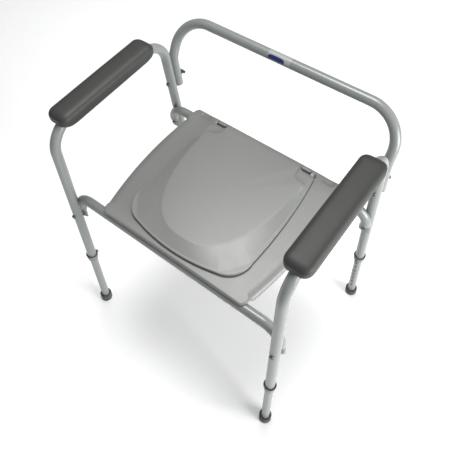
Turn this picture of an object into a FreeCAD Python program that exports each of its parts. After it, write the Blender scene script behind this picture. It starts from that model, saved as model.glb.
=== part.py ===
"""Wide commode chair: bent steel tube frame, four height-adjustable legs, moulded seat, lid and pail.

Millimetres, +Z up, front of the chair at -Y. Left and right are those of a person who faces the chair,
so left is at -X. The origin is on the floor, at the centre of the chair's bounding box.
"""
import FreeCAD, Part
import math
import os

# --- tube sizes -----------------------------------------------------------------------------------
TUBE_R = 12.7
TUBE_WALL = 1.5
EXTENSION_R = 11.1
EXTENSION_WALL = 1.3
EXTENSION_FIT = 0.09
NEST_GAP = 0.1

# --- side frames: each one is a tube bent into a front leg, an arm and a rear leg -------------------
SIDE_X = 311.0
FRONT_FOOT_Y = -258.2
FRONT_SLOPE = 0.078
REAR_FOOT_Y = 216.6
REAR_SLOPE = -0.055
ARM_Z = 755.0
ARM_BEND_R = 75.0

# --- legs' lower ends -------------------------------------------------------------------------------
COLLAR_Z = 248.0
COLLAR_HEIGHT = 20.0
COLLAR_TOP_R = 16.6
COLLAR_BOTTOM_R = 14.6
COLLAR_MOUTH_R = 15.2
COLLAR_MOUTH_DEPTH = 6.0
COLLAR_SHOULDER = 5.0
EXTENSION_INSIDE = 92.0
HOLE_PITCH = 25.4
HOLE_R = 3.4
HOLES_BELOW = 7
HOLES_ABOVE = 2
TIP_R = 17.2
TIP_HEIGHT = 25.0
TIP_FLOOR = 7.0
TIP_BOTTOM_ROUND = 4.0
TIP_TOP_ROUND = 2.0
TIP_CUT_AWAY = 4.0

# --- lock buttons -----------------------------------------------------------------------------------
BUTTON_STEM_R = 3.0
BUTTON_HOLE_R = 3.3
BUTTON_NOSE = 11.3
BUTTON_HEAD_START = 18.7
BUTTON_HEAD_END = 21.0
BUTTON_HEAD_R = 4.2
BUTTON_ROUND = 1.2

# --- crossbars --------------------------------------------------------------------------------------
BAR_Z = 516.0
BAR_NEST = 18.0
BAR_BEND_R = 50.0
BAR_ROUND_END = 51.0
BAR_TAB_START = 59.0
BAR_BOLT_DROP = 66.0
BAR_END_DROP = 84.0
BAR_TAB_HALF_THICK = 5.2
BAR_TAB_HALF_WIDE = 15.5
BAR_CLEAR = 1.0

# --- back bar ---------------------------------------------------------------------------------------
BACK_LOW_Z = 576.0
BACK_BOLT_Z = 598.0
BACK_KINK_Z = 669.0
BACK_LEAN = math.radians(29.2)
BACK_LEAN_LENGTH = 117.4
BACK_CORNER_R = 86.0
BACK_KINK_R = 60.0
BACK_NEST = 2 * TUBE_R + NEST_GAP

# --- fasteners --------------------------------------------------------------------------------------
BOLT_R = 3.0
BOLT_HOLE_R = 3.15
DRILL_REACH = 60.0
BOLT_TAIL = 2.0
DOME_ROUND = 0.6
WING_BOLT_TAIL = 13.0
WING_HUB_R = 6.0
WING_HUB_TOP_R = 4.6
WING_HUB_HEIGHT = 8.0
WING_LENGTH = 9.0
WING_THICK = 2.4
WING_HEIGHT = 9.0
WING_START = 4.0
WING_BASE = 1.5
WING_ROUND = 1.0
WING_TILT = 20.0
WING_FIT = 0.05
WING_GAP = 0.2
PLUG_FLANGE = 2.0
PLUG_LENGTH = 12.0
HEAD_R = 6.0
HEAD_HEIGHT = 4.0
NUT_R = 5.8
NUT_HEIGHT = 5.0

# --- arm pads ---------------------------------------------------------------------------------------
PAD_FRONT_Y = -176.0
PAD_REAR_Y = 127.0
PAD_WIDTH = 62.0
PAD_BOTTOM_Z = 745.0
PAD_TOP_Z = 786.0
PAD_ROUND = 13.0
PAD_SCREW_Y = (-95.0, 70.0)
PAD_SCREW_R = 1.9
PAD_SCREW_CLEAR = 0.3
PAD_SCREW_BITE = 8.0
PAD_SCREW_HEAD_R = 4.5
PAD_SCREW_HEAD = 2.6

# --- seat -------------------------------------------------------------------------------------------
SEAT_TOP_Z = 537.0
SEAT_THICK = 7.0
SEAT_SKIRT = 22.0
SEAT_WALL = 6.0
SEAT_FRONT_Y = -207.0
SEAT_REAR_Y = 193.0
SEAT_FRONT_X = 212.0
SEAT_MID_X = 242.0
SEAT_REAR_X = 231.0
SEAT_CORNER_R = 8.0
SEAT_WIDEST_Y = 10.0
SEAT_RUN_OUT = 30.0
SEAT_RIM_ROUND = 3.0
OPENING_Y = -25.0
OPENING_HALF_X = 104.0
OPENING_HALF_Y = 132.0
CLIP_X = 190.0
CLIP_WIDTH = 36.0
CLIP_R = 17.5
CLIP_FIT = 0.06
CLIP_MOUTH = 20.0
CLIP_MOUTH_TOP = 5.0
BLOCK_X = 150.0
BLOCK_WIDTH = 30.0
BLOCK_DEPTH = 15.0
BLOCK_HEIGHT = 8.0
BLOCK_SETBACK = 2.0
BLOCK_FIT = 0.3

# --- lid --------------------------------------------------------------------------------------------
LID_BOTTOM_Z = 539.0
LID_RIM = 5.0
LID_PLATEAU = 8.0
LID_SHELL = 4.0
LID_FRONT_Y = -195.0
LID_REAR_X = 154.0
LID_MID_X = 174.0
LID_WIDEST_Y = 20.0
LID_CORNER_INSET = 2.0
LID_CORNER_Y = -110.0
LID_BEND_INSET = 15.0
LID_BEND_Y = -157.0
LID_SHOULDER_X = 118.0
LID_SHOULDER_DEPTH = 15.0
LID_HOLLOW_END = 20.0
LID_FOOT_X = 135.0
LID_FOOT_Y = (-120.0, 110.0)
LID_FOOT_R = 7.0
LID_FOOT_HEIGHT = 1.6
PLATEAU_HALF_X = 151.0
PLATEAU_WIDEST_Y = 134.0
PLATEAU_LENGTH = 292.0
PLATEAU_ROUND = 0.8
PLATEAU_STEPS = 8
NOTCH_X = 114.0
NOTCH_Y = 132.0
NOTCH_ROUND = 10.0
HINGE_Y = 176.0
HINGE_Z = 544.0
HINGE_X = 132.0
HINGE_LUG = 24.0
HINGE_EAR = 14.0
HINGE_R = 5.0
HINGE_BARREL_R = 5.5
HINGE_PLAY = 1.0
HINGE_ROOM = 10.0
PIN_R = 2.0
PIN_FIT = 0.06

# --- pail -------------------------------------------------------------------------------------------
PAIL_Y = -18.0
PAIL_RIM_R = 136.0
PAIL_TOP_R = 120.0
PAIL_BOTTOM_R = 98.0
PAIL_RIM_Z = 489.6
PAIL_BOTTOM_Z = 300.0
PAIL_WALL = 3.0
PAIL_RIM_THICK = 4.0
PAIL_MOUTH_DEPTH = 1.0
BAIL_R = 129.0
BAIL_WIRE_R = 2.2
BAIL_DROOP = math.radians(16.0)
BAIL_Z = 470.0
BAIL_CORNER_R = 8.0
BAIL_TURN_IN = 6.0
BAIL_BORE_START = 114.0
BAIL_FIT = 0.08
EAR_R = 7.0
EAR_END = 127.0
RAIL_X = 138.0
RAIL_LIP = 14.0
RAIL_SHEET = 2.0
RAIL_HEIGHT = 16.0
RAIL_SETBACK = 12.0
RAIL_TAIL = 10.0
RAIL_TONGUE = 6.0
RIVET_R = 2.0
RIVET_FIT = 0.1
RIVET_HEAD_R = 4.0
RIVET_HEAD = 2.0
RIVET_GRIP = 4.0

# --- label plate ------------------------------------------------------------------------------------
LABEL_START_X = -42.0
LABEL_LENGTH = 62.0
LABEL_THICK = 0.3
LABEL_LOW = 8.0
LABEL_TURN = 38.0

UP = FreeCAD.Vector(0, 0, 1)
X_AXIS = FreeCAD.Vector(1, 0, 0)
SIDES = (("left", -1), ("right", 1))
ENDS = (("front", FRONT_FOOT_Y, FRONT_SLOPE, 1), ("rear", REAR_FOOT_Y, REAR_SLOPE, -1))


def vec(x, y, z):
    return FreeCAD.Vector(x, y, z)


def front_y(z):
    """Y of the front legs' centre line at height z."""
    return FRONT_FOOT_Y + FRONT_SLOPE * z


def rear_y(z):
    """Y of the rear legs' centre line at height z."""
    return REAR_FOOT_Y + REAR_SLOPE * z


def rounded_path(points, radii):
    """A wire of straight runs through the points, with a tangent arc of each radius at each inner point."""
    edges = []
    start = points[0]
    for i, radius in enumerate(radii):
        corner = points[i + 1]
        back = (points[i] - corner).normalize()
        ahead = (points[i + 2] - corner).normalize()
        half = math.acos(max(-1.0, min(1.0, back.dot(ahead)))) / 2
        reach = radius / math.tan(half)
        first = corner + back * reach
        last = corner + ahead * reach
        bisector = (back + ahead).normalize()
        middle = corner + bisector * (radius / math.sin(half) - radius)
        edges.append(Part.LineSegment(start, first).toShape())
        edges.append(Part.Arc(first, middle, last).toShape())
        start = last
    edges.append(Part.LineSegment(start, points[-1]).toShape())
    return Part.Wire(edges)


def sweep(path, radius):
    """A solid round bar along a path."""
    first = path.Edges[0]
    direction = first.tangentAt(first.FirstParameter)
    ring = Part.Wire(Part.makeCircle(radius, first.valueAt(first.FirstParameter), direction))
    return path.makePipeShell([ring], True, False)


def tube(path, radius, wall):
    """An open-ended tube along a path."""
    return sweep(path, radius).cut(sweep(path, radius - wall))


def bar(radius, start, direction, length):
    return Part.makeCylinder(radius, length, start, direction)


def on_leg(shape, side, foot_y, slope, z):
    """Tilts a shape made round the Z axis to a leg's slope, and puts its origin on the leg at height z."""
    placed = shape.copy()
    placed.rotate(vec(0, 0, 0), X_AXIS, -math.degrees(math.atan(slope)))
    placed.translate(vec(side * SIDE_X, foot_y + slope * z, z))
    return placed


def across_leg(slope):
    """The unit vector square to a leg and to the X axis, pointing to the rear."""
    return vec(0, 1, -slope).normalize()


def leg_point(side, foot_y, slope, z):
    return vec(side * SIDE_X, foot_y + slope * z, z)


def side_frame_path(side):
    """The centre line of a side frame, from inside one collar over the arm and down to the other."""
    low = COLLAR_Z - COLLAR_HEIGHT / 2 + COLLAR_SHOULDER
    x = side * SIDE_X
    points = [
        vec(x, front_y(low), low),
        vec(x, front_y(ARM_Z), ARM_Z),
        vec(x, rear_y(ARM_Z), ARM_Z),
        vec(x, rear_y(low), low),
    ]
    return rounded_path(points, [ARM_BEND_R, ARM_BEND_R])


def bar_bolt_z(slope, inward):
    """Height on the leg's centre line of the bolt through a crossbar's flattened end."""
    offset = across_leg(slope) * (inward * BAR_NEST)
    return BAR_Z - offset.z - BAR_BOLT_DROP * math.cos(math.atan(slope))


def bolt_hole(side, foot_y, slope, z):
    """A drill square through a leg at height z."""
    direction = across_leg(slope)
    start = leg_point(side, foot_y, slope, z) - direction * DRILL_REACH
    return bar(BOLT_HOLE_R, start, direction, 2 * DRILL_REACH)


def side_frame(side):
    """A leg, arm and leg in one bent tube, drilled for its bolts, lock buttons and pad screws."""
    shape = tube(side_frame_path(side), TUBE_R, TUBE_R - EXTENSION_R - EXTENSION_FIT)
    for _, foot_y, slope, inward in ENDS:
        shape = shape.cut(bolt_hole(side, foot_y, slope, bar_bolt_z(slope, inward)))
        window = bar(BUTTON_HOLE_R, vec(0, 0, 0), vec(0, inward, 0), DRILL_REACH)
        shape = shape.cut(on_leg(window, side, foot_y, slope, COLLAR_Z))
    shape = shape.cut(bolt_hole(side, REAR_FOOT_Y, REAR_SLOPE, BACK_BOLT_Z))
    for y in PAD_SCREW_Y:
        start = vec(side * SIDE_X, y, ARM_Z - DRILL_REACH)
        shape = shape.cut(bar(PAD_SCREW_R + PAD_SCREW_CLEAR, start, UP, 2 * DRILL_REACH))
    return shape


def back_bar_path():
    """The back bar's centre line: up behind each rear leg, leaning back, then straight across."""
    base_y = BACK_NEST / across_leg(REAR_SLOPE).y
    top = vec(0, math.sin(BACK_LEAN), math.cos(BACK_LEAN)) * BACK_LEAN_LENGTH
    points = []
    for side in (-1, 1):
        low = vec(side * SIDE_X, rear_y(BACK_LOW_Z) + base_y, BACK_LOW_Z)
        kink = vec(side * SIDE_X, rear_y(BACK_KINK_Z) + base_y, BACK_KINK_Z)
        points.append([low, kink, kink + top])
    ordered = points[0] + points[1][::-1]
    return rounded_path(ordered, [BACK_KINK_R, BACK_CORNER_R, BACK_CORNER_R, BACK_KINK_R])


def back_bar():
    """The back bar's tube, drilled for the bolt at each end."""
    shape = tube(back_bar_path(), TUBE_R, TUBE_WALL)
    for _, side in SIDES:
        shape = shape.cut(bolt_hole(side, REAR_FOOT_Y, REAR_SLOPE, BACK_BOLT_Z))
    return shape


def crossbar(foot_y, slope, inward):
    """A bar between two legs, bent down at both ends, with each end pressed flat against its leg."""
    low = -BAR_ROUND_END
    points = [vec(-SIDE_X, 0, low), vec(-SIDE_X, 0, 0), vec(SIDE_X, 0, 0), vec(SIDE_X, 0, low)]
    shape = tube(rounded_path(points, [BAR_BEND_R, BAR_BEND_R]), TUBE_R, TUBE_WALL)
    round_ring = Part.Wire(Part.makeCircle(TUBE_R, vec(0, 0, low), UP))
    flat = Part.Ellipse(vec(0, 0, -BAR_TAB_START), BAR_TAB_HALF_WIDE, BAR_TAB_HALF_THICK).toShape()
    flat_ring = Part.Wire([flat])
    neck = Part.makeLoft([round_ring, flat_ring], True)
    tab = Part.Face(flat_ring).extrude(vec(0, 0, BAR_TAB_START - BAR_END_DROP))
    end = neck.fuse(tab)
    for _, side in SIDES:
        piece = end.copy()
        piece.translate(vec(side * SIDE_X, 0, 0))
        start = vec(side * SIDE_X, -DRILL_REACH, -BAR_BOLT_DROP)
        hole = bar(BOLT_HOLE_R, start, vec(0, 1, 0), 2 * DRILL_REACH)
        shape = shape.fuse(piece).cut(hole)
    shape.rotate(vec(0, 0, 0), X_AXIS, -math.degrees(math.atan(slope)))
    shape.translate(vec(0, crossbar_y(foot_y, slope, inward), BAR_Z))
    for _, side in SIDES:
        leg = bar(TUBE_R + NEST_GAP, leg_point(side, foot_y, slope, 0), vec(0, slope, 1), ARM_Z)
        shape = shape.cut(leg)
    for _, side in SIDES:
        x = side * (RAIL_X + RAIL_LIP / 2)
        start = vec(x, crossbar_y(foot_y, slope, inward), BAR_Z - DRILL_REACH)
        shape = shape.cut(bar(RIVET_R + RIVET_FIT, start, UP, DRILL_REACH))
    return shape.removeSplitter()


def crossbar_y(foot_y, slope, inward):
    """Y of a crossbar's centre line, where it runs at height BAR_Z beside its legs."""
    offset = across_leg(slope) * (inward * BAR_NEST)
    return foot_y + slope * (BAR_Z - offset.z) + offset.y


def crossbar_bolts(foot_y, slope, inward, node):
    """Bolt heads and shanks from the front, nuts at the back, for both ends of a crossbar."""
    bolts = []
    nuts = []
    tab = BAR_NEST + BAR_TAB_HALF_THICK
    front = tab if inward < 0 else TUBE_R
    rear = TUBE_R if inward < 0 else tab
    direction = across_leg(slope)
    for _, side in SIDES:
        centre = leg_point(side, foot_y, slope, bar_bolt_z(slope, inward))
        length = front + rear + NUT_HEIGHT + BOLT_TAIL
        shank = bar(BOLT_R, centre - direction * front, direction, length)
        head = dome(HEAD_R, HEAD_HEIGHT)
        bolts.append(aim(head, centre - direction * front, direction * -1).fuse(shank))
        nut = hexagon(NUT_R, NUT_HEIGHT).cut(bar(BOLT_R, vec(0, 0, -DRILL_REACH), UP, 2 * DRILL_REACH))
        nuts.append(aim(nut, centre + direction * rear, direction))
    write(node + "_bolts", Part.makeCompound(bolts))
    write(node + "_nuts", Part.makeCompound(nuts))


def dome(radius, height):
    """A low round bolt head standing on the XY plane."""
    head = Part.makeCylinder(radius, height)
    rim = [e for e in head.Edges if e.BoundBox.ZMin > height / 2 and len(e.Vertexes) == 1]
    return head.makeFillet(height * DOME_ROUND, rim)


def hexagon(radius, height):
    corners = [vec(radius * math.cos(math.radians(a)), radius * math.sin(math.radians(a)), 0)
               for a in range(0, 361, 60)]
    return Part.Face(Part.makePolygon(corners)).extrude(vec(0, 0, height))


def aim(shape, place, direction):
    """Turns a shape made along +Z to point along a direction, and moves it to a place."""
    turned = shape.copy()
    turned.Placement = FreeCAD.Placement(place, FreeCAD.Rotation(UP, direction))
    return turned


def back_bar_bolts():
    direction = across_leg(REAR_SLOPE)
    bolts = []
    for _, side in SIDES:
        centre = leg_point(side, REAR_FOOT_Y, REAR_SLOPE, BACK_BOLT_Z)
        start = centre - direction * TUBE_R
        shank = bar(BOLT_R, start, direction, 2 * TUBE_R + BACK_NEST + WING_BOLT_TAIL)
        bolts.append(aim(dome(HEAD_R, HEAD_HEIGHT), start, direction * -1).fuse(shank))
    write("back_bar_bolts", Part.makeCompound(bolts))


def wing_nut(side):
    """A nut with two wings, which clamps the back bar to a rear leg."""
    hub = Part.makeCone(WING_HUB_R, WING_HUB_TOP_R, WING_HUB_HEIGHT)
    for angle in (0, 180):
        low = vec(WING_START, -WING_THICK / 2, WING_BASE)
        wing = Part.makeBox(WING_LENGTH, WING_THICK, WING_HEIGHT, low)
        wing = wing.makeFillet(WING_ROUND, wing.Edges)
        wing.rotate(vec(0, 0, 0), vec(0, 1, 0), -WING_TILT)
        wing.rotate(vec(0, 0, 0), UP, angle)
        hub = hub.fuse(wing)
    hub = hub.cut(bar(BOLT_R + WING_FIT, vec(0, 0, -DRILL_REACH), UP, 2 * DRILL_REACH))
    corner = vec(-DRILL_REACH, -DRILL_REACH, -DRILL_REACH)
    hub = hub.cut(Part.makeBox(2 * DRILL_REACH, 2 * DRILL_REACH, DRILL_REACH, corner))
    direction = across_leg(REAR_SLOPE)
    away = direction * (BACK_NEST + TUBE_R + WING_GAP)
    place = leg_point(side, REAR_FOOT_Y, REAR_SLOPE, BACK_BOLT_Z) + away
    return aim(hub, place, direction)


def end_plug():
    """A plastic plug for an open tube end, pushed in along +Z with its flange at z = 0."""
    flange = Part.makeCylinder(TUBE_R, PLUG_FLANGE, vec(0, 0, -PLUG_FLANGE))
    body = Part.makeCylinder(TUBE_R - TUBE_WALL, PLUG_LENGTH)
    return flange.fuse(body)


def back_bar_plugs():
    plugs = []
    for _, side in SIDES:
        offset = vec(0, BACK_NEST / across_leg(REAR_SLOPE).y, 0)
        place = leg_point(side, REAR_FOOT_Y, REAR_SLOPE, BACK_LOW_Z) + offset
        plugs.append(aim(end_plug(), place, vec(0, REAR_SLOPE, 1)))
    return Part.makeCompound(plugs)


def collar(side, foot_y, slope, inward):
    """A moulded cup on the leg tube's end: a flared mouth round the tube, a guide for the extension."""
    low = -COLLAR_HEIGHT / 2
    top = COLLAR_HEIGHT / 2
    body = Part.makeCone(COLLAR_BOTTOM_R, COLLAR_TOP_R, COLLAR_HEIGHT, vec(0, 0, low))
    guide = bar(EXTENSION_R + EXTENSION_FIT, vec(0, 0, -DRILL_REACH), UP, 2 * DRILL_REACH)
    body = body.cut(guide)
    body = body.cut(bar(TUBE_R, vec(0, 0, low + COLLAR_SHOULDER), UP, COLLAR_HEIGHT))
    mouth_low = vec(0, 0, top - COLLAR_MOUTH_DEPTH)
    mouth = Part.makeCone(TUBE_R, COLLAR_MOUTH_R, COLLAR_MOUTH_DEPTH, mouth_low)
    body = body.cut(mouth)
    body = body.cut(bar(BUTTON_HOLE_R, vec(0, 0, 0), vec(0, inward, 0), DRILL_REACH))
    return on_leg(body, side, foot_y, slope, COLLAR_Z)


def extension(side, foot_y, slope, inward):
    """The inner leg tube, with a row of adjustment holes in the wall that faces the chair's middle."""
    low = TIP_FLOOR - COLLAR_Z
    length = EXTENSION_INSIDE - low
    shape = Part.makeCylinder(EXTENSION_R, length, vec(0, 0, low))
    shape = shape.cut(Part.makeCylinder(EXTENSION_R - EXTENSION_WALL, length, vec(0, 0, low)))
    for number in range(-HOLES_BELOW, HOLES_ABOVE + 1):
        hole = bar(HOLE_R, vec(0, 0, number * HOLE_PITCH), vec(0, inward, 0), 2 * EXTENSION_R)
        shape = shape.cut(hole)
    return on_leg(shape, side, foot_y, slope, COLLAR_Z)


def rubber_tip(side, foot_y, slope):
    """A thick rubber cup on the extension's foot, with a rounded lower edge and a flat sole."""
    cup = Part.makeCylinder(TIP_R, TIP_HEIGHT + TIP_CUT_AWAY, vec(0, 0, -TIP_CUT_AWAY))
    lower = [e for e in cup.Edges if e.BoundBox.ZMax < -TIP_CUT_AWAY + 1 and len(e.Vertexes) == 1]
    cup = cup.makeFillet(TIP_BOTTOM_ROUND, lower)
    upper = [e for e in cup.Edges if e.BoundBox.ZMin > TIP_HEIGHT - 1 and len(e.Vertexes) == 1]
    cup = cup.makeFillet(TIP_TOP_ROUND, upper)
    bore = Part.makeCylinder(EXTENSION_R, TIP_HEIGHT, vec(0, 0, TIP_FLOOR))
    placed = on_leg(cup.cut(bore), side, foot_y, slope, 0)
    corner = vec(side * SIDE_X - DRILL_REACH, foot_y - DRILL_REACH, -DRILL_REACH)
    return placed.cut(Part.makeBox(2 * DRILL_REACH, 2 * DRILL_REACH, DRILL_REACH, corner))


def lock_button(side, foot_y, slope, inward):
    """A push button whose stem goes through the collar and the leg tube towards the extension's holes."""
    out = vec(0, inward, 0)
    stem = bar(BUTTON_STEM_R, out * BUTTON_NOSE, out, BUTTON_HEAD_START - BUTTON_NOSE)
    head = bar(BUTTON_HEAD_R, out * BUTTON_HEAD_START, out, BUTTON_HEAD_END - BUTTON_HEAD_START)
    outer = [e for e in head.Edges if abs(e.BoundBox.Center.y) > BUTTON_HEAD_END - BUTTON_ROUND]
    rim = [e for e in outer if len(e.Vertexes) == 1]
    head = head.makeFillet(BUTTON_ROUND, rim)
    return on_leg(stem.fuse(head), side, foot_y, slope, COLLAR_Z)


def arm_pad(side):
    """A moulded pad that clips over the arm tube and follows it into both bends."""
    length = PAD_REAR_Y - PAD_FRONT_Y
    low = vec(side * SIDE_X - PAD_WIDTH / 2, PAD_FRONT_Y, PAD_BOTTOM_Z)
    body = Part.makeBox(PAD_WIDTH, length, PAD_TOP_Z - PAD_BOTTOM_Z, low)
    edges = [e for e in body.Edges if e.BoundBox.ZMax > PAD_BOTTOM_Z + 1]
    body = body.makeFillet(PAD_ROUND, edges)
    body = body.cut(sweep(side_frame_path(side), TUBE_R + NEST_GAP))
    for y in PAD_SCREW_Y:
        body = body.cut(bar(PAD_SCREW_R, vec(side * SIDE_X, y, ARM_Z), UP, TUBE_R + PAD_SCREW_BITE))
    return body


def arm_pad_screws():
    screws = []
    for _, side in SIDES:
        for y in PAD_SCREW_Y:
            base = vec(side * SIDE_X, y, ARM_Z - TUBE_R)
            shank = bar(PAD_SCREW_R, base, UP, 2 * TUBE_R + PAD_SCREW_BITE)
            head = aim(dome(PAD_SCREW_HEAD_R, PAD_SCREW_HEAD), base, UP * -1)
            screws.append(head.fuse(shank))
    return Part.makeCompound(screws)


def seat_outline(inset, front_y_edge, rear_y_edge):
    """The seat's plan: a straight front and rear edge, and sides that bow outwards."""
    fx = SEAT_FRONT_X - inset
    mx = SEAT_MID_X - inset
    rx = SEAT_REAR_X - inset
    edges = [
        Part.LineSegment(vec(-fx, front_y_edge, 0), vec(fx, front_y_edge, 0)).toShape(),
        Part.Arc(vec(fx, front_y_edge, 0), vec(mx, SEAT_WIDEST_Y, 0), vec(rx, rear_y_edge, 0)).toShape(),
        Part.LineSegment(vec(rx, rear_y_edge, 0), vec(-rx, rear_y_edge, 0)).toShape(),
        Part.Arc(vec(-rx, rear_y_edge, 0), vec(-mx, SEAT_WIDEST_Y, 0), vec(-fx, front_y_edge, 0)).toShape(),
    ]
    return Part.Face(Part.Wire(edges))


def seat():
    """A moulded seat: flat top with an oval opening, skirts along both sides, notched for the crossbars."""
    bottom = SEAT_TOP_Z - SEAT_SKIRT
    body = seat_outline(0, SEAT_FRONT_Y, SEAT_REAR_Y).extrude(vec(0, 0, SEAT_SKIRT))
    body.translate(vec(0, 0, bottom))
    upright = [e for e in body.Edges if e.BoundBox.ZLength > SEAT_SKIRT - 1 and e.BoundBox.XLength < 1]
    body = body.makeFillet(SEAT_CORNER_R, upright)
    hollow = seat_outline(SEAT_WALL, SEAT_FRONT_Y - SEAT_RUN_OUT, SEAT_REAR_Y + SEAT_RUN_OUT)
    hollow = hollow.extrude(vec(0, 0, SEAT_SKIRT))
    hollow.translate(vec(0, 0, bottom - SEAT_THICK))
    body = body.cut(hollow)
    rim = [e for e in body.Edges if e.BoundBox.ZMin > SEAT_TOP_Z - 0.1]
    body = body.makeFillet(SEAT_RIM_ROUND, rim)
    oval = Part.Face(Part.Wire([Part.Ellipse(vec(0, 0, 0), OPENING_HALF_Y, OPENING_HALF_X).toShape()]))
    oval.rotate(vec(0, 0, 0), UP, 90)
    oval = oval.extrude(vec(0, 0, 2 * DRILL_REACH))
    oval.translate(vec(0, OPENING_Y, SEAT_TOP_Z - DRILL_REACH))
    body = body.cut(oval)
    for _, foot_y, slope, inward in ENDS:
        y = crossbar_y(foot_y, slope, inward)
        clear = TUBE_R + BAR_CLEAR
        notch = bar(clear, vec(-SIDE_X, y, BAR_Z), X_AXIS, 2 * SIDE_X)
        low = vec(-SIDE_X, y - clear, BAR_Z - DRILL_REACH)
        slot = Part.makeBox(2 * SIDE_X, 2 * clear, DRILL_REACH, low)
        body = body.cut(notch.fuse(slot))
    return body


def seat_clip(x):
    """A C-shaped clip under the seat, which grips the rear crossbar and turns on it."""
    y = crossbar_y(REAR_FOOT_Y, REAR_SLOPE, -1)
    start = vec(x - CLIP_WIDTH / 2, y, BAR_Z)
    body = bar(CLIP_R, start, X_AXIS, CLIP_WIDTH)
    body = body.cut(bar(TUBE_R + CLIP_FIT, start, X_AXIS, CLIP_WIDTH))
    low_x = x - CLIP_WIDTH / 2
    low_z = BAR_Z - CLIP_MOUTH_TOP - CLIP_MOUTH
    mouth = Part.makeBox(CLIP_WIDTH, CLIP_MOUTH, CLIP_MOUTH, vec(low_x, y - CLIP_MOUTH / 2, low_z))
    above = vec(low_x, y - DRILL_REACH / 2, SEAT_TOP_Z - SEAT_THICK)
    cap = Part.makeBox(CLIP_WIDTH, DRILL_REACH, DRILL_REACH, above)
    return body.cut(mouth).cut(cap)


def seat_bumpers():
    """Two rubber blocks under the seat's front edge, which rest on the front crossbar."""
    y = crossbar_y(FRONT_FOOT_Y, FRONT_SLOPE, 1)
    top = SEAT_TOP_Z - SEAT_THICK
    blocks = []
    for x in (-BLOCK_X, BLOCK_X):
        low = vec(x - BLOCK_WIDTH / 2, y - BLOCK_SETBACK, top - BLOCK_HEIGHT)
        block = Part.makeBox(BLOCK_WIDTH, BLOCK_DEPTH, BLOCK_HEIGHT, low)
        tube_clear = bar(TUBE_R + BLOCK_FIT, vec(x - BLOCK_WIDTH, y, BAR_Z), X_AXIS, 2 * BLOCK_WIDTH)
        blocks.append(block.cut(tube_clear))
    return Part.makeCompound(blocks)


def lid_outline():
    """The lid's plan: straight at the hinge, bowed sides, and a wide shallow curve at the front."""
    corner = vec(LID_MID_X - LID_CORNER_INSET, LID_CORNER_Y, 0)
    shoulder = vec(LID_SHOULDER_X, LID_FRONT_Y + LID_SHOULDER_DEPTH, 0)
    bend = vec(LID_MID_X - LID_BEND_INSET, LID_BEND_Y, 0)
    rear = vec(LID_REAR_X, HINGE_Y, 0)
    middle = vec(LID_MID_X, LID_WIDEST_Y, 0)

    def mirror(p):
        return vec(-p.x, p.y, 0)

    return Part.Face(Part.Wire([
        Part.LineSegment(mirror(rear), rear).toShape(),
        Part.Arc(rear, middle, corner).toShape(),
        Part.Arc(corner, bend, shoulder).toShape(),
        Part.Arc(shoulder, vec(0, LID_FRONT_Y, 0), mirror(shoulder)).toShape(),
        Part.Arc(mirror(shoulder), mirror(bend), mirror(corner)).toShape(),
        Part.Arc(mirror(corner), mirror(middle), mirror(rear)).toShape(),
    ]))


def plateau_outline(inset):
    """The raised middle's plan: widest near the hinge, and rounded like an egg towards the front."""
    half_x = PLATEAU_HALF_X - inset
    length = PLATEAU_LENGTH - inset
    points = []
    for i in range(2 * PLATEAU_STEPS + 1):
        angle = math.pi * i / (2 * PLATEAU_STEPS)
        x = half_x * math.copysign(abs(math.cos(angle)) ** PLATEAU_ROUND, math.cos(angle))
        y = PLATEAU_WIDEST_Y - length * math.sin(angle) ** PLATEAU_ROUND
        points.append(vec(x, y, 0))
    front = Part.BSplineCurve()
    front.interpolate(points)
    rear = HINGE_Y - inset
    return Part.Face(Part.Wire([
        front.toShape(),
        Part.LineSegment(points[-1], vec(-half_x, rear, 0)).toShape(),
        Part.LineSegment(vec(-half_x, rear, 0), vec(half_x, rear, 0)).toShape(),
        Part.LineSegment(vec(half_x, rear, 0), points[0]).toShape(),
    ]))


def lid_notches(grow):
    """Two blocks that stand for the low corners round the hinges, each made larger by grow all round."""
    blocks = []
    for _, side in SIDES:
        inner = NOTCH_X - grow
        width = LID_MID_X - inner
        low_x = inner if side > 0 else -inner - width
        low = vec(low_x, NOTCH_Y - grow, LID_BOTTOM_Z + LID_RIM - grow)
        block = Part.makeBox(width, HINGE_Y - NOTCH_Y + DRILL_REACH, LID_PLATEAU + DRILL_REACH, low)
        upright = [e for e in block.Edges if e.BoundBox.ZLength > LID_PLATEAU]
        front = [e for e in upright if e.BoundBox.Center.y < NOTCH_Y + 1]
        inner_edge = [e for e in front if abs(abs(e.BoundBox.Center.x) - inner) < 0.1]
        blocks.append(block.makeFillet(NOTCH_ROUND, inner_edge))
    return blocks


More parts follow.
